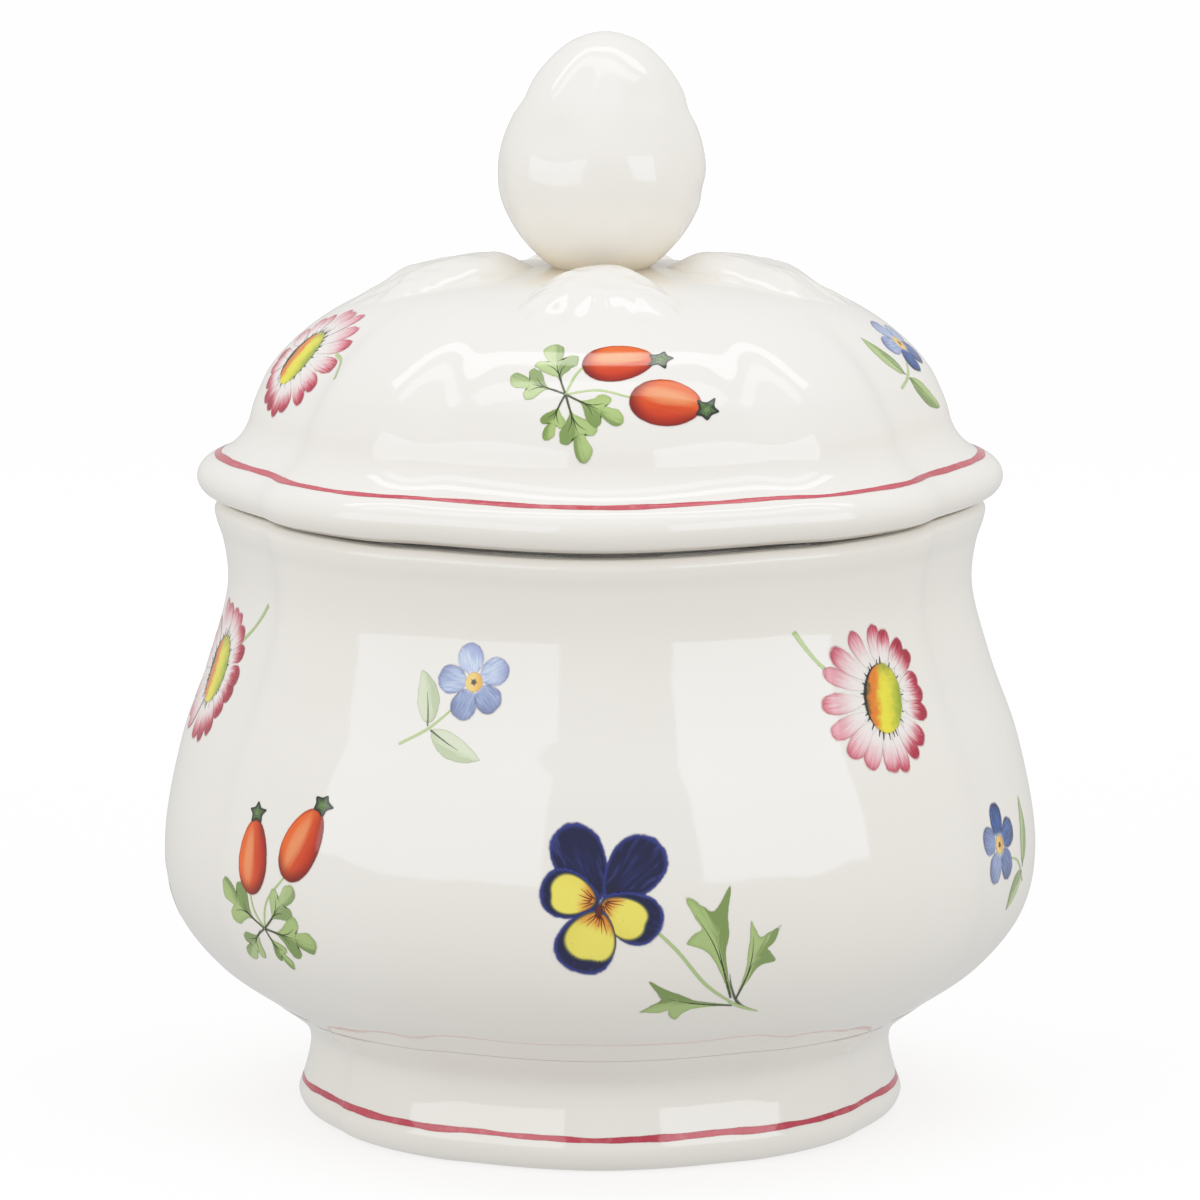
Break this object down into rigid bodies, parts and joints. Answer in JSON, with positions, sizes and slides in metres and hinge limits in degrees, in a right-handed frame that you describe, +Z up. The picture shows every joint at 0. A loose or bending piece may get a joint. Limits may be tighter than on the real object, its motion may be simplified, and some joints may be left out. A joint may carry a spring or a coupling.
{
  "type": "sugar bowl",
  "caption": "Lobed, bellied porcelain sugar bowl on a flared foot, with a domed lift-off lid, a bud-shaped knob and painted flowers.",
  "frame": {"origin": "middle of the foot's resting face, on the axis of the bowl", "axes": "+Z up through the knob, -Y towards the front panel with the pansy, +X to the right seen from the front"},
  "size_m": [0.1, 0.1, 0.1244],
  "materials": {
    "bowl_porcelain": "glossy warm white glaze with painted flowers and a red line round the foot",
    "lid_porcelain": "glossy warm white glaze with painted flowers and a red line round the rim"
  },
  "bodies": {
    "bowl_and_foot": {"bowl": "bowl_porcelain", "foot_ring": "bowl_porcelain"},
    "lid_assembly": {"lid": "lid_porcelain", "knob": "lid_porcelain", "leaf_front": "lid_porcelain", "leaf_right": "lid_porcelain", "leaf_back": "lid_porcelain", "leaf_left": "lid_porcelain"}
  },
  "joints": [
    {"name": "lid_lift", "type": "slide", "parent": "bowl_and_foot", "child": "lid_assembly", "axis": [0, 0, 1], "range_m": [0, 0.08]}
  ]
}
